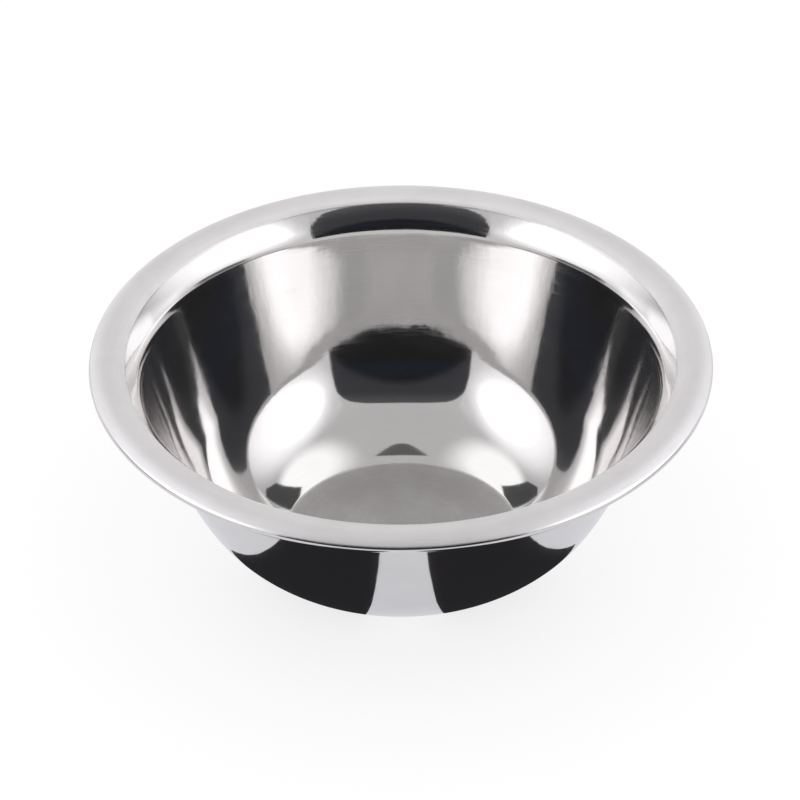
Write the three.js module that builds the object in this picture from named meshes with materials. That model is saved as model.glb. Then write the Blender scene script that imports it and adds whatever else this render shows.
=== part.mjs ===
import * as THREE from 'three';

// Pet food bowl, deep drawn from one steel sheet. Millimetres and degrees, +Z up.
// The base rests on z = 0 and the bowl's axis is the Z axis.

// Overall sizes and the sheet
const rimDiameter = 210;
const bowlHeight = 76;
const sheetThickness = 0.7;

// Flat floor and the small hollow corner round it, inside
const floorDiameter = 78;
const cornerRadius = 6;
const cornerSlope = 16.8;

// Rounded heel, inside, up to the slope at which the wall takes over
const heelRadius = 50.4;
const heelSlope = 61.7;

// Wall: lean from the vertical under the rim, and how far each end keeps its own direction
const wallLean = 18.3;
const wallLowerReach = 13;
const wallUpperReach = 18.7;

// Rim, from its crest inwards and down to the wall: gently arched flange, tight bend,
// nearly straight shoulder and the neck above the wall, each with the slope at its lower end
const flangeRadius = 16;
const flangeSlope = 13.4;
const bendRadius = 4.4;
const bendSlope = 45;
const shoulderRadius = 51;
const shoulderSlope = 51;
const neckRadius = 14.9;

// Rim, from its crest outwards: short brow, and the tight curl that hides the cut edge
const browRadius = 8.3;
const browTilt = 45.6;
const curlRadius = 1.2;
const curlTurn = 156;

// Facets
const turnSteps = 72;
const cornerSteps = 2;
const heelSteps = 8;
const wallSteps = 6;
const neckSteps = 3;
const shoulderSteps = 1;
const bendSteps = 4;
const flangeSteps = 2;
const browSteps = 5;
const curlSteps = 6;

const rad = THREE.MathUtils.degToRad;

// Directions in the half section, as (radius, height): along the sheet, and out of its upper face
function along(slope) {
  return new THREE.Vector2(Math.cos(slope), Math.sin(slope));
}

function upward(slope) {
  return new THREE.Vector2(-Math.sin(slope), Math.cos(slope));
}

// A station is a point of the sheet's upper face with the slope of the sheet there.
// A positive radius makes a hollow bend, with its centre above the sheet, and a negative one an arched bend.
function bendFrom(start, radius, toSlope, steps) {
  const centre = start.point.clone().addScaledVector(upward(start.slope), radius);
  const stations = [];
  for (let i = 0; i <= steps; i += 1) {
    const slope = THREE.MathUtils.lerp(start.slope, toSlope, i / steps);
    const point = centre.clone().addScaledVector(upward(slope), -radius);
    stations.push({ point, slope });
  }
  return stations;
}

// The same bend, built back from its outer end, with its stations still in order outwards
function bendInto(end, radius, fromSlope, steps) {
  return bendFrom(end, radius, fromSlope, steps).reverse();
}

// Smooth wall from one station to another, tangent to the sheet at both ends
function sweep(start, end, startReach, endReach, steps) {
  const curve = new THREE.CubicBezierCurve(
    start.point,
    start.point.clone().addScaledVector(along(start.slope), startReach),
    end.point.clone().addScaledVector(along(end.slope), -endReach),
    end.point,
  );
  const stations = [];
  for (let i = 0; i <= steps; i += 1) {
    const tangent = curve.getTangent(i / steps);
    stations.push({ point: curve.getPoint(i / steps), slope: tangent.angle() });
  }
  return stations;
}

function sheetStations() {
  const floorEdge = { point: new THREE.Vector2(floorDiameter / 2, sheetThickness), slope: 0 };
  const corner = bendFrom(floorEdge, cornerRadius, rad(cornerSlope), cornerSteps);
  const heel = bendFrom(corner[cornerSteps], heelRadius, rad(heelSlope), heelSteps);

  const crestRadius = rimDiameter / 2 - curlRadius - (browRadius - curlRadius) * Math.sin(rad(browTilt));
  const crest = { point: new THREE.Vector2(crestRadius, bowlHeight), slope: 0 };
  const flange = bendInto(crest, -flangeRadius, rad(flangeSlope), flangeSteps);
  const tightBend = bendInto(flange[0], -bendRadius, rad(bendSlope), bendSteps);
  const shoulder = bendInto(tightBend[0], -shoulderRadius, rad(shoulderSlope), shoulderSteps);
  const neck = bendInto(shoulder[0], -neckRadius, rad(90 - wallLean), neckSteps);
  const wall = sweep(heel[heelSteps], neck[0], wallLowerReach, wallUpperReach, wallSteps);

  const brow = bendFrom(crest, -browRadius, rad(-browTilt), browSteps);
  const curl = bendFrom(brow[browSteps], -curlRadius, rad(-browTilt - curlTurn), curlSteps);

  // Neighbouring stretches share their end station, so all but the first leave it out.
  const stretches = [heel, wall, neck, shoulder, tightBend, flange, brow, curl];
  return [...corner, ...stretches.flatMap((stretch) => stretch.slice(1))];
}

// Closed half section: the floor from the axis, the upper face to the cut edge, and the lower face back to the axis
function sheetProfile() {
  const stations = sheetStations();
  const upper = stations.map(({ point }) => point.clone());
  const lower = stations.map(({ point, slope }) => point.clone().addScaledVector(upward(slope), -sheetThickness));
  const floorCentre = new THREE.Vector2(0, sheetThickness);
  const restCentre = new THREE.Vector2(0, 0);
  return [floorCentre, ...upper, ...lower.reverse(), restCentre];
}

function makeBowl() {
  const profile = sheetProfile().reverse();
  const geometry = new THREE.LatheGeometry(profile, turnSteps);
  geometry.rotateX(Math.PI / 2);
  const steel = new THREE.MeshStandardMaterial({ color: 0xc9cacb, metalness: 1, roughness: 0.12 });
  const bowl = new THREE.Mesh(geometry, steel);
  bowl.name = 'bowl';
  return bowl;
}

const part = new THREE.Group();
part.name = 'pet_food_bowl';
part.add(makeBowl());

export default part;
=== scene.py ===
import math

import bpy
from mathutils import Matrix, Vector


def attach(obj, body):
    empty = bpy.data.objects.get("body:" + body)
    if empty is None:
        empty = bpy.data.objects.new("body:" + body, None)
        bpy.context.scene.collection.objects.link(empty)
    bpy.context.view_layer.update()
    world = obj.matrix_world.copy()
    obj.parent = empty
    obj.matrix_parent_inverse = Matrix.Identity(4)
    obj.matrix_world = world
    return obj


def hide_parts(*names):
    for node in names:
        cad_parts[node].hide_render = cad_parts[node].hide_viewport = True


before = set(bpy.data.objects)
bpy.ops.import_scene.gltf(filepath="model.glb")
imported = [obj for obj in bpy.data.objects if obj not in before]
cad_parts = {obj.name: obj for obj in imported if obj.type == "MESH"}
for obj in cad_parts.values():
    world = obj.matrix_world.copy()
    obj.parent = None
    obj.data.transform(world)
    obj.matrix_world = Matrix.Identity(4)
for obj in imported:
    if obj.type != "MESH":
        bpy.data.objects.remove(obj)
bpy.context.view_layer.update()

MM = 0.001

# The bowl's half section, in millimetres and degrees, as in the part's source
RIM_DIAMETER = 210.0
BOWL_HEIGHT = 76.0
SHEET = 0.7
FLOOR_DIAMETER = 78.0
CORNER_RADIUS, CORNER_SLOPE = 6.0, 16.8
HEEL_RADIUS, HEEL_SLOPE = 50.4, 61.7
WALL_LEAN, WALL_LOWER_REACH, WALL_UPPER_REACH = 18.3, 13.0, 18.7
FLANGE_RADIUS, FLANGE_SLOPE = 16.0, 13.4
BEND_RADIUS, BEND_SLOPE = 4.4, 45.0
SHOULDER_RADIUS, SHOULDER_SLOPE = 51.0, 51.0
NECK_RADIUS = 14.9
BROW_RADIUS, BROW_TILT = 8.3, 45.6
CURL_RADIUS, CURL_TURN = 1.2, 156.0

# Flats round the axis and along each stretch of the section, finer than in the part's source
TURN_STEPS = 288
CORNER_STEPS, HEEL_STEPS, WALL_STEPS = 6, 24, 28
NECK_STEPS, SHOULDER_STEPS, BEND_STEPS = 8, 4, 8
FLANGE_STEPS, BROW_STEPS, CURL_STEPS = 6, 12, 20
FLOOR_RINGS = (6.0, 14.0, 22.0, 30.0, 35.0, 38.0)

# Edges of the finish and of a painted shade line: each fades between two radii or two heights, in
# millimetres
FLOOR_EDGE, FLOOR_TOP = (39.6, 40.6), (0.95, 1.3)
RIM_BOTTOM = (70.0, 71.0)
FLANGE_INNER, FLANGE_OUTER = (92.6, 93.2), (103.9, 104.8)
# The second pair edges a thin line of painted shade at the flange's inner edge, not a real seam
PAINTED_LINE_INNER, PAINTED_LINE_OUTER = (92.4, 92.75), (92.8, 93.15)
FOOT_INNER, FOOT_OUTER, FOOT_TOP = (33.0, 36.0), (40.0, 43.0), (0.3, 0.6)
CURL_OUTSIDE = (104.2, 104.9)
UNEVEN_WALL, UNEVEN_LOW = (14.0, 36.0), 0.25
HAIRY_WALL = (20.0, 40.0)

# Depths of the unevenness in the polish, in millimetres, and noise scales, per metre
WAVE_DEPTH, STREAK_DEPTH, LINE_DEPTH = 0.1, 0.016, 0.002
WAVE_SCALE, CLOUD_SCALE, SCUFF_SCALE = 42.0, 60.0, 700.0

# The steel: its thin haze, its roughness, and the roughness that each finish adds
COAT_WEIGHT, COAT_ROUGHNESS = 0.26, 0.3
MIRROR_ROUGHNESS, LINE_ROUGHNESS = 0.03, 0.03
HAIR_ROUGHNESS, UPPER_HAIR_ROUGHNESS = 0.02, 0.045
FLOOR_ROUGHNESS, FLANGE_ROUGHNESS, WEAR_ROUGHNESS = 0.36, 0.55, 0.2

# Its colours along a ramp of shades from 0 to 1, and what each finish, and the painted shade line, adds
# to the wall's shade
STEEL_TONES = (
    (0.0, (0.52, 0.505, 0.498)),
    (0.4, (0.716, 0.702, 0.696)),
    (0.6, (0.744, 0.729, 0.722)),
    (1.0, (0.85, 0.83, 0.838)),
)
WALL_SHADE, CLOUD_SHADE, LINE_SHADE = 0.5, 0.5, 0.2
FLOOR_SHADE, FLANGE_SHADE, PAINTED_LINE_SHADE, WEAR_SHADE = -0.45, 0.45, -0.4, -0.15
CURL_WEAR = 0.35
NOISE_MIDDLE = 0.5

# The studio's cards, in rim radii: planes and spans, with the camera on the -Y side
RIM_RADIUS = RIM_DIAMETER / 2 * MM
FRONT_Y, FRONT_WIDTH, FRONT_HEIGHT = -8.0, (-7.5, 7.5), (2.45, 14.8)
DUSK_Y, DUSK_WIDTH, DUSK_HEIGHT = -7.9, (-6.0, 6.0), (3.9, 8.0)
SIDE_X, SIDE_DEPTH, SIDE_HEIGHT = 3.5, (-4.7, 8.0), (0.7, 11.0)
SKIRT_X, SKIRT_DEPTH, SKIRT_HEIGHT = 3.6, (-3.5, 0.9), (0.75, 1.5)
HOOD_Z, HOOD_WIDTH, HOOD_DEPTH = 1.5, (-0.1, 0.1), (0.54, 0.785)
LAMP_Z, LAMP_WIDTH, LAMP_DEPTH = 1.52, 0.9, (0.3, 1.95)
BLOCK_Z = 1.47
BLOCK_OUTLINE = ((0.37, 1.22), (0.78, 1.25), (0.98, 1.5), (0.94, 1.66), (0.25, 1.65))
FLAG_Z, FLAG_NEAR, FLAG_FAR = 0.002, -2.2, -0.19
FLAG_INNER, FLAG_OUTER = (0.128, 0.007), (0.635, 0.01)

# How bright the cards are, where it is even all over, and their tints
SKIRT_LEVEL, DUSK_LEVEL, LAMP_LEVEL = 0.15, 0.06, 1.32
HOOD_LEVEL, BLOCK_LEVEL, FLAG_LEVEL = 0.12, 0.07, 0.022
WHITE = (1.0, 1.0, 1.0)
FRONT_TINT, DUSK_TINT = (0.97, 0.98, 1.1), (0.25, 0.42, 1.0)
SIDE_TINT, FLAG_TINT = (0.985, 0.98, 1.0), (1.02, 0.97, 1.1)

# The studio floor, in metres, its own grey, and its light to the camera and in the steel
FLOOR_REACH, FLOOR_GAP = 4.0, 0.00005
FLOOR_GREY = (0.25, 0.25, 0.25)
FLOOR_SEEN = 0.78
FLOOR_IN_STEEL = {"Red": 0.6, "Green": 0.603, "Blue": 0.64}

# The photograph's viewpoint, in degrees, rim radii and pixels of its frame. The sensor's width is
# in millimetres, and the camera's reach in metres
CAMERA_ELEVATION, CAMERA_ROLL = 35.99, -0.403
CAMERA_DISTANCE, AIM_UNDER_RIM = 20.0, 0.1821
FRAME_PIXELS, FOCAL_PIXELS, AIM_SHIFT_PIXELS = 800.0, 6212.9, -1.15
SENSOR_WIDTH = 36.0
CAMERA_REACH = 50.0

# Light goes to and fro inside the polished bowl
ALL_BOUNCES, GLOSSY_BOUNCES = 16, 12


def upward(slope):
    """Direction out of the sheet's upper face, in the half section."""
    return Vector((-math.sin(slope), math.cos(slope)))


def along(slope):
    """Direction along the sheet, outwards, in the half section."""
    return Vector((math.cos(slope), math.sin(slope)))


def bend_from(start, radius, to_degrees, steps):
    """Stations of an arc that leaves a station, hollow for a positive radius and arched for a
    negative one. A station is a point of the sheet's upper face with the slope there."""
    point, slope = start
    centre = point + radius * upward(slope)
    to_slope = math.radians(to_degrees)
    slopes = [slope + (to_slope - slope) * i / steps for i in range(steps + 1)]
    return [(centre - radius * upward(s), s) for s in slopes]


def bend_into(end, radius, from_degrees, steps):
    """The same arc, built back from its outer end, with its stations still in order outwards."""
    return bend_from(end, radius, from_degrees, steps)[::-1]


def sweep(start, end, start_reach, end_reach, steps):
    """Stations of a smooth wall, tangent to the sheet at both ends."""
    p0, p3 = start[0], end[0]
    p1 = p0 + start_reach * along(start[1])
    p2 = p3 - end_reach * along(end[1])
    stations = []
    for i in range(steps + 1):
        t = i / steps
        u = 1.0 - t
        point = u ** 3 * p0 + 3 * u * u * t * p1 + 3 * u * t * t * p2 + t ** 3 * p3
        tangent = u * u * (p1 - p0) + 2 * u * t * (p2 - p1) + t * t * (p3 - p2)
        stations.append((point, math.atan2(tangent.y, tangent.x)))
    return stations


def sheet_stations():
    """Stations of the sheet's upper face, from the middle of the floor to the cut edge."""
    floor = [(Vector((radius, SHEET)), 0.0) for radius in FLOOR_RINGS]
    floor_edge = (Vector((FLOOR_DIAMETER / 2, SHEET)), 0.0)
    corner = bend_from(floor_edge, CORNER_RADIUS, CORNER_SLOPE, CORNER_STEPS)
    heel = bend_from(corner[-1], HEEL_RADIUS, HEEL_SLOPE, HEEL_STEPS)

    crest_radius = RIM_DIAMETER / 2 - CURL_RADIUS
    crest_radius -= (BROW_RADIUS - CURL_RADIUS) * math.sin(math.radians(BROW_TILT))
    crest = (Vector((crest_radius, BOWL_HEIGHT)), 0.0)
    flange = bend_into(crest, -FLANGE_RADIUS, FLANGE_SLOPE, FLANGE_STEPS)
    tight = bend_into(flange[0], -BEND_RADIUS, BEND_SLOPE, BEND_STEPS)
    shoulder = bend_into(tight[0], -SHOULDER_RADIUS, SHOULDER_SLOPE, SHOULDER_STEPS)
    neck = bend_into(shoulder[0], -NECK_RADIUS, 90.0 - WALL_LEAN, NECK_STEPS)
    wall = sweep(heel[-1], neck[0], WALL_LOWER_REACH, WALL_UPPER_REACH, WALL_STEPS)

    brow = bend_from(crest, -BROW_RADIUS, -BROW_TILT, BROW_STEPS)
    curl = bend_from(brow[-1], -CURL_RADIUS, -BROW_TILT - CURL_TURN, CURL_STEPS)

    # Neighbouring stretches share their end station, so all but the first leave it out
    stations = floor + corner
    for stretch in (heel, wall, neck, shoulder, tight, flange, brow, curl):
        stations = stations + stretch[1:]
    return stations


def make_bowl():
    """The sheet's closed skin: the upper face outwards, the cut edge, and the lower face back."""
    stations = sheet_stations()
    upper = [point for point, slope in stations]
    lower = [point - SHEET * upward(slope) for point, slope in stations]
    rings = upper + lower[::-1]

    verts = []
    for ring in rings:
        for k in range(TURN_STEPS):
            angle = 2 * math.pi * k / TURN_STEPS
            verts.append((ring.x * MM * math.cos(angle), ring.x * MM * math.sin(angle), ring.y * MM))
    top_centre = len(verts)
    bottom_centre = top_centre + 1
    verts.append((0.0, 0.0, SHEET * MM))
    verts.append((0.0, 0.0, 0.0))

    turns = [(k, (k + 1) % TURN_STEPS) for k in range(TURN_STEPS)]
    starts = [i * TURN_STEPS for i in range(len(rings))]
    faces = []
    for near, far in zip(starts, starts[1:]):
        faces += [(near + k, far + k, far + n, near + n) for k, n in turns]
    for k, n in turns:
        faces.append((top_centre, k, n))
        faces.append((bottom_centre, starts[-1] + n, starts[-1] + k))

    mesh = bpy.data.meshes.new("bowl_sheet")
    mesh.from_pydata(verts, [], faces)
    mesh.update()
    mesh.polygons.foreach_set("use_smooth", [True] * len(mesh.polygons))
    cut_rings = (len(upper) - 1, len(upper))
    for edge in mesh.edges:
        first, second = [vertex // TURN_STEPS for vertex in edge.vertices]
        if first == second and first in cut_rings:
            edge.use_edge_sharp = True
    mesh.validate()
    piece = bpy.data.objects.new("bowl_sheet", mesh)
    bpy.context.collection.objects.link(piece)
    return piece


def node(tree, kind, inputs=None, **settings):
    """Adds a shader node; an input is a number, a colour, a Wire or another node's output."""
    made = tree.nodes.new(kind)
    for key, value in settings.items():
        setattr(made, key, value)
    for key, value in (inputs or {}).items():
        value = value.socket if isinstance(value, Wire) else value
        if isinstance(value, bpy.types.NodeSocket):
            tree.links.new(value, made.inputs[key])
        else:
            made.inputs[key].default_value = value
    return made


class Wire:
    """A number that flows between shader nodes, with the usual arithmetic."""

    def __init__(self, tree, socket):
        self.tree = tree
        self.socket = socket

    def calc(self, operation, *values):
        made = node(self.tree, "ShaderNodeMath", dict(enumerate(values)), operation=operation)
        return Wire(self.tree, made.outputs[0])

    def __add__(self, other):
        return self.calc("ADD", self, other)

    def __sub__(self, other):
        return self.calc("SUBTRACT", self, other)

    def __mul__(self, other):
        return self.calc("MULTIPLY", self, other)

    def __truediv__(self, other):
        return self.calc("DIVIDE", self, other)

    def __pow__(self, power):
        return self.calc("POWER", self, power)

    def __abs__(self):
        return self.calc("ABSOLUTE", self)

    def at_least(self, floor):
        return self.calc("MAXIMUM", self, floor)

    def ease(self, start, end, low, high):
        """Goes smoothly from one level to another while the number goes from start to end."""
        inputs = {0: self, 1: start, 2: end, 3: low, 4: high}
        made = node(self.tree, "ShaderNodeMapRange", inputs, interpolation_type="SMOOTHSTEP")
        return Wire(self.tree, made.outputs[0])

    def rise(self, start, end):
        return self.ease(start, end, 0.0, 1.0)

    def fall(self, start, end):
        return self.ease(start, end, 1.0, 0.0)


def length(a, b):
    return (a * a + b * b) ** 0.5


def opaque(colour):
    return (*colour, 1.0)


def own_place(tree):
    return node(tree, "ShaderNodeTexCoord").outputs["Object"]


def coordinates(tree, unit):
    """The object's own coordinates, in a unit of so many metres."""
    split = node(tree, "ShaderNodeSeparateXYZ", {"Vector": own_place(tree)})
    return [Wire(tree, socket) / unit for socket in split.outputs]


def combine(tree, x, y, z):
    return node(tree, "ShaderNodeCombineXYZ", {"X": x, "Y": y, "Z": z}).outputs[0]


def noise(tree, place, scale, detail, fourth=None):
    """Noise at a place, which may have a fourth coordinate."""
    inputs = {"Vector": place, "Scale": scale, "Detail": detail}
    if fourth is None:
        made = node(tree, "ShaderNodeTexNoise", inputs)
    else:
        made = node(tree, "ShaderNodeTexNoise", {**inputs, "W": fourth}, noise_dimensions="4D")
    return Wire(tree, made.outputs["Fac"])


def new_tree(owner, output_kind):
    owner.use_nodes = True
    tree = owner.node_tree
    tree.nodes.clear()
    return tree, node(tree, output_kind).inputs["Surface"]


def steel_colour(tree, shade):
    """The steel's colour for a shade from 0, the darkest, to 1."""
    made = node(tree, "ShaderNodeValToRGB", {"Fac": shade})
    stops = made.color_ramp.elements
    for position, colour in STEEL_TONES[1:-1]:
        stops.new(position)
    for stop, (position, colour) in zip(stops, STEEL_TONES):
        stop.position = position
        stop.color = opaque(colour)
    return made.outputs["Color"]


def uneven_normal(tree, layers):
    """The surface's direction, with layers of bumps of so many millimetres."""
    inputs = {"Strength": 1.0}
    for height, depth in layers:
        inputs.update({"Height": height, "Distance": depth * MM})
        inputs["Normal"] = node(tree, "ShaderNodeBump", inputs).outputs[0]
    return inputs["Normal"]


def steel_material():
    material = bpy.data.materials.new("polished_steel")
    tree, surface = new_tree(material, "ShaderNodeOutputMaterial")
    x, y, z = coordinates(tree, MM)
    radius = length(x, y)

    # The floor and the flange are satin, with a thin line of painted shade at the flange's inner edge,
    # which stands for the bend's dark reflection there.
    # The wall between them is polished to a mirror
    floor = radius.fall(*FLOOR_EDGE) * z.fall(*FLOOR_TOP)
    rim = z.rise(*RIM_BOTTOM)
    flange = radius.rise(*FLANGE_INNER) * radius.fall(*FLANGE_OUTER) * rim
    # Painted shade: this thin ring darkens the steel's colour at the flange's inner edge, standing for
    # the bend's dark reflection
    painted_shade_line = radius.rise(*PAINTED_LINE_INNER) * radius.fall(*PAINTED_LINE_OUTER) * rim

    # Polishing lines and hairs run round the axis: they change quickly across and slowly along
    def round_noise(across, around, detail):
        place = combine(tree, radius * across, z * across, x / radius * around)
        return noise(tree, place, 1.0, detail, fourth=y / radius * around)

    lines = round_noise(across=0.9, around=5.0, detail=3.0)
    hairs = round_noise(across=2.4, around=9.0, detail=2.0).rise(0.4, 0.75)

    # Broad waves and streaks down the wall, from the press; both are weaker low on the wall
    place = own_place(tree)
    uneven = z.ease(*UNEVEN_WALL, UNEVEN_LOW, 1.0)
    waves = (noise(tree, place, WAVE_SCALE, 1.5) - NOISE_MIDDLE) * uneven
    drawn = combine(tree, x * 0.3, y * 0.3, z * 0.025)
    streaks = (noise(tree, drawn, 1.0, 2.0) - NOISE_MIDDLE) * uneven

    # Wear: the ring that the bowl stands on, and the outside of the edge curl
    scuffs = noise(tree, place, SCUFF_SCALE, 3.0).rise(0.42, 0.62)
    foot = radius.rise(*FOOT_INNER) * radius.fall(*FOOT_OUTER) * z.fall(*FOOT_TOP)
    wear = (foot + radius.rise(*CURL_OUTSIDE) * CURL_WEAR) * scuffs

    # Dull floor, mirror wall with a slight cloud and fine lines, bright flange, and a painted shade line
    # at the flange's inner edge
    cloud = noise(tree, place, CLOUD_SCALE, 4.0)
    mottled = (cloud - NOISE_MIDDLE) * CLOUD_SHADE + (lines - NOISE_MIDDLE) * LINE_SHADE + WALL_SHADE
    shade = mottled + floor * FLOOR_SHADE + flange * FLANGE_SHADE + painted_shade_line * PAINTED_LINE_SHADE + wear * WEAR_SHADE
    hairy = hairs * (z.rise(*HAIRY_WALL) * UPPER_HAIR_ROUGHNESS + HAIR_ROUGHNESS)
    roughness = lines * LINE_ROUGHNESS + MIRROR_ROUGHNESS + hairy
    roughness = roughness + floor * FLOOR_ROUGHNESS + flange * FLANGE_ROUGHNESS + wear * WEAR_ROUGHNESS
    layers = ((waves, WAVE_DEPTH), (streaks, STREAK_DEPTH), (lines, LINE_DEPTH))

    steel = node(tree, "ShaderNodeBsdfPrincipled", {
        "Metallic": 1.0,
        "Coat Weight": COAT_WEIGHT,
        "Coat Roughness": COAT_ROUGHNESS,
        "Base Color": steel_colour(tree, shade),
        "Roughness": roughness,
        "Normal": uneven_normal(tree, layers),
    })
    tree.links.new(steel.outputs["BSDF"], surface)
    return material


def card(name, corners, paint, tint=WHITE):
    """A flat studio card that only reflections show. Its corners are in rim radii, and its paint
    gives the level and the cover at a place on it."""
    mesh = bpy.data.meshes.new(name)
    verts = [[c * RIM_RADIUS for c in corner] for corner in corners]
    mesh.from_pydata(verts, [], [tuple(range(len(corners)))])
    material = bpy.data.materials.new(name)
    tree, surface = new_tree(material, "ShaderNodeOutputMaterial")
    level, cover = paint(*coordinates(tree, RIM_RADIUS))
    glow = node(tree, "ShaderNodeEmission", {"Color": opaque(tint), "Strength": level})
    clear = node(tree, "ShaderNodeBsdfTransparent")
    both = node(tree, "ShaderNodeMixShader", {0: cover, 1: clear.outputs[0], 2: glow.outputs[0]})
    tree.links.new(both.outputs[0], surface)
    mesh.materials.append(material)
    made = bpy.data.objects.new(name, mesh)
    bpy.context.collection.objects.link(made)
    made.visible_camera = False
    made.visible_diffuse = False
    made.visible_shadow = False
    made.visible_volume_scatter = False


def plain(level):
    return lambda x, y, z: (level, 1.0)


def side_paint(x, y, z):
    """A diffuser, brightest round its lamp and low at the back, and open to the room at its edges."""
    def spot(centre_y, centre_z, fade, level):
        flatness = 1.24
        return length(y - centre_y, (z - centre_z) * flatness).ease(*fade, level, 0.0)

    glow = spot(-0.22, 3.48, (1.41, 4.14), 0.81)
    core = spot(-0.87, 3.63, (1.12, 2.34), 0.48)
    low_glow = z.fall(1.6, 2.3) * (y.rise(1.0, 1.8) * 0.45 + y.rise(2.7, 3.1) * 0.35)
    level = glow + core + low_glow + y.ease(-2.5, 1.5, 0.735, 0.555)

    front_lean, top_lean = 0.24, 0.96
    low_step = y.ease(0.6, 1.8, 0.0, 0.5)
    front_edge = (y - z * front_lean).rise(-4.93, -4.77)
    low_edge = (z + low_step).rise(1.25, 1.4)
    top_edge = (z - y.at_least(0.0) * top_lean).fall(6.33, 7.47)
    back_edge = y.fall(4.5, 8.0)
    return level, front_edge * low_edge * top_edge * back_edge


def skirt_paint(x, y, z):
    """A dim strip behind the foot of each diffuser."""
    return SKIRT_LEVEL, y.rise(-1.4, -0.8) * y.fall(0.4, 0.9)


def front_paint(x, y, z):
    """The dark side of the room, towards the camera: blackest low in the middle, with round
    upper corners."""
    bow = 0.14
    level = (z + x * x * bow).ease(7.2, 9.4, 0.011, 0.046) + z.ease(10.0, 14.0, 0.0, 0.042)
    half_width, corner_foot, corner_height, squareness = 7.4, 5.0, 9.6, 6.0
    above = (z - corner_foot).at_least(0.0)
    outline = (abs(x) / half_width) ** squareness + (above / corner_height) ** squareness
    return level, outline.fall(0.9, 1.06)


def dusk_paint(x, y, z):
    """A thin blue veil over part of that dark side."""
    thinness = 0.22
    return DUSK_LEVEL, abs(x).fall(4.0, 6.0) * z.rise(3.9, 5.0) * z.fall(6.0, 7.5) * thinness


def lamp_paint(side):
    """An oval lamp above the far rim, left or right, with a soft edge."""
    def paint(x, y, z):
        middle_x, middle_y, half_width, half_depth = 0.465, 1.12, 0.388, 0.8
        across, away = (x * side - middle_x) / half_width, (y - middle_y) / half_depth
        return LAMP_LEVEL, length(across, away).fall(0.51, 1.0)
    return paint


def hood_paint(x, y, z):
    """A small dark hood above the bowl's far half, round at its tip."""
    depth, half_width, roundness = 0.25, 0.092, 0.42
    half = ((y - HOOD_DEPTH[0]).at_least(0.0) / depth) ** roundness * half_width
    return HOOD_LEVEL, (half - abs(x)).rise(-0.004, 0.006)


def facing_y(x_span, y, z_span):
    (x0, x1), (z0, z1) = x_span, z_span
    return [(x0, y, z0), (x1, y, z0), (x1, y, z1), (x0, y, z1)]


def facing_x(x, y_span, z_span):
    (y0, y1), (z0, z1) = y_span, z_span
    return [(x, y0, z0), (x, y1, z0), (x, y1, z1), (x, y0, z1)]


def facing_z(x_span, y_span, z):
    (x0, x1), (y0, y1) = x_span, y_span
    return [(x0, y0, z), (x1, y0, z), (x1, y1, z), (x0, y1, z)]


def make_studio():
    card("front", facing_y(FRONT_WIDTH, FRONT_Y, FRONT_HEIGHT), front_paint, FRONT_TINT)
    card("front_dusk", facing_y(DUSK_WIDTH, DUSK_Y, DUSK_HEIGHT), dusk_paint, DUSK_TINT)
    card("hood", facing_z(HOOD_WIDTH, HOOD_DEPTH, HOOD_Z), hood_paint)
    for side, label in ((-1, "left"), (1, "right")):
        wall = facing_x(SIDE_X * side, SIDE_DEPTH, SIDE_HEIGHT)
        card("side_" + label, wall, side_paint, SIDE_TINT)
        skirt = facing_x(SKIRT_X * side, SKIRT_DEPTH, SKIRT_HEIGHT)
        card("skirt_" + label, skirt, skirt_paint)
        lamp = facing_z((0.0, LAMP_WIDTH * side), LAMP_DEPTH, LAMP_Z)
        card("lamp_" + label, lamp, lamp_paint(side))

        # A dark block under the back of each lamp
        block = [(x * side, y, BLOCK_Z) for x, y in BLOCK_OUTLINE]
        card("block_" + label, block, plain(BLOCK_LEVEL))

        # A dark cloth on the floor, left and right of a gap that is a little off the middle
        inner, outer = [reach * side + shift for reach, shift in (FLAG_INNER, FLAG_OUTER)]
        flag = [(inner, -0.39), (0.28 * side, -0.29), (0.45 * side, FLAG_FAR)]
        flag += [(outer, FLAG_FAR), (outer, FLAG_NEAR), (inner, FLAG_NEAR)]
        flag = [(x, y, FLAG_Z) for x, y in flag]
        card("floor_flag_" + label, flag, plain(FLAG_LEVEL), FLAG_TINT)


def make_floor():
    """A pale floor that keeps the bowl's shadow, with its own light to the camera and in the steel."""
    mesh = bpy.data.meshes.new("studio_floor")
    reach = (-FLOOR_REACH, FLOOR_REACH)
    mesh.from_pydata(facing_z(reach, reach, 0.0), [], [(0, 1, 2, 3)])
    floor = bpy.data.objects.new("studio_floor", mesh)
    bpy.context.collection.objects.link(floor)
    floor.location.z = -FLOOR_GAP
    material = bpy.data.materials.new("pale_floor")
    tree, surface = new_tree(material, "ShaderNodeOutputMaterial")
    path = node(tree, "ShaderNodeLightPath").outputs
    seen = Wire(tree, path["Is Camera Ray"]).at_least(path["Is Transmission Ray"]) * FLOOR_SEEN
    glossy = Wire(tree, path["Is Glossy Ray"])
    hue = node(tree, "ShaderNodeCombineColor", {
        channel: seen + glossy * level for channel, level in FLOOR_IN_STEEL.items()})
    matt = node(tree, "ShaderNodeBsdfDiffuse", {"Color": opaque(FLOOR_GREY)})
    lift = node(tree, "ShaderNodeEmission", {"Color": hue.outputs[0], "Strength": 1.0})
    both = node(tree, "ShaderNodeAddShader", {0: matt.outputs[0], 1: lift.outputs[0]})
    tree.links.new(both.outputs[0], surface)
    mesh.materials.append(material)


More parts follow.
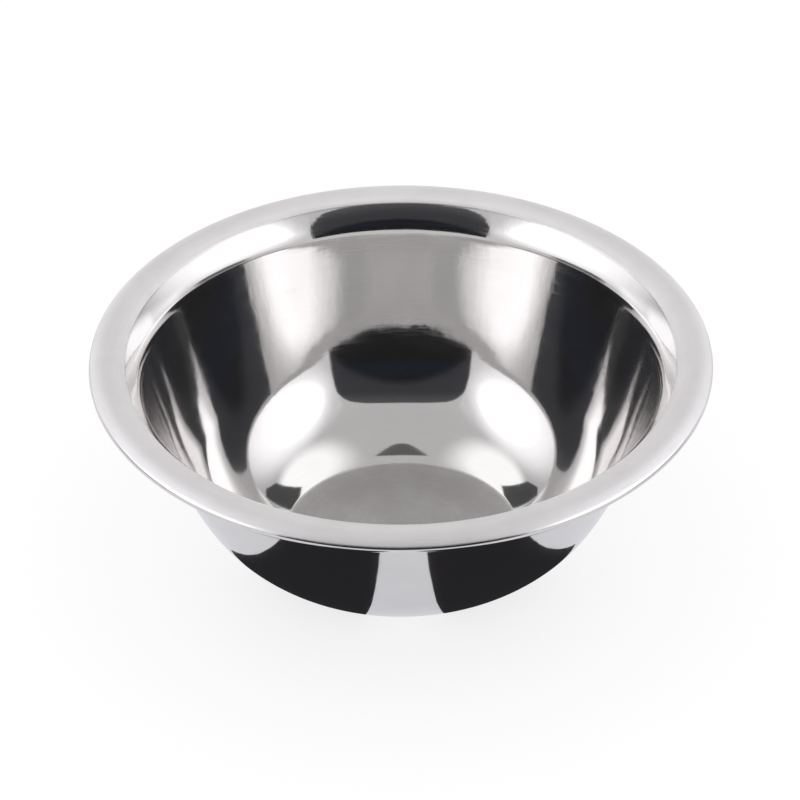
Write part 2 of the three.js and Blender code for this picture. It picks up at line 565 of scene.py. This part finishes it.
def make_world():
    """White all round, but greyer in reflections, most of all towards the ceiling."""
    world = bpy.data.worlds.new("studio_world")
    bpy.context.scene.world = world
    tree, surface = new_tree(world, "ShaderNodeOutputWorld")
    toward = node(tree, "ShaderNodeTexCoord").outputs["Generated"]
    height = Wire(tree, node(tree, "ShaderNodeSeparateXYZ", {"Vector": toward}).outputs[2])
    glossy = Wire(tree, node(tree, "ShaderNodeLightPath").outputs["Is Glossy Ray"])
    dimmer = height.ease(0.25, 0.5, 0.3, 0.37) + height.ease(0.7, 0.93, 0.0, 0.05)
    strength = glossy * dimmer * -1.0 + 1.0
    light = node(tree, "ShaderNodeBackground", {"Color": opaque(WHITE), "Strength": strength})
    tree.links.new(light.outputs[0], surface)


def make_camera():
    """The photograph's viewpoint: 36 degrees above the floor, far off, with a long lens."""
    elevation = math.radians(CAMERA_ELEVATION)
    roll = math.radians(CAMERA_ROLL)
    distance = CAMERA_DISTANCE * RIM_RADIUS
    aim_x = AIM_SHIFT_PIXELS / FOCAL_PIXELS * distance
    aim = Vector((aim_x, 0.0, BOWL_HEIGHT * MM - AIM_UNDER_RIM * RIM_RADIUS))
    back = Vector((0.0, -math.cos(elevation), math.sin(elevation)))
    right = Vector((1.0, 0.0, 0.0))
    up = back.cross(right)
    side = math.cos(roll) * right + math.sin(roll) * up
    top = -math.sin(roll) * right + math.cos(roll) * up
    data = bpy.data.cameras.new("photo_camera")
    data.sensor_width = SENSOR_WIDTH
    data.lens = FOCAL_PIXELS / FRAME_PIXELS * SENSOR_WIDTH
    data.clip_end = CAMERA_REACH
    camera = bpy.data.objects.new("photo_camera", data)
    bpy.context.collection.objects.link(camera)
    axes = Matrix((side, top, back)).transposed().to_4x4()
    camera.matrix_world = Matrix.Translation(aim + distance * back) @ axes
    bpy.context.scene.camera = camera


bowl = make_bowl()
bowl.data.materials.append(steel_material())
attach(bowl, "root")
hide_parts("bowl")

make_studio()
make_floor()
make_world()
make_camera()

scene = bpy.context.scene
scene.view_settings.view_transform = "Standard"
scene.cycles.max_bounces = ALL_BOUNCES
scene.cycles.glossy_bounces = GLOSSY_BOUNCES
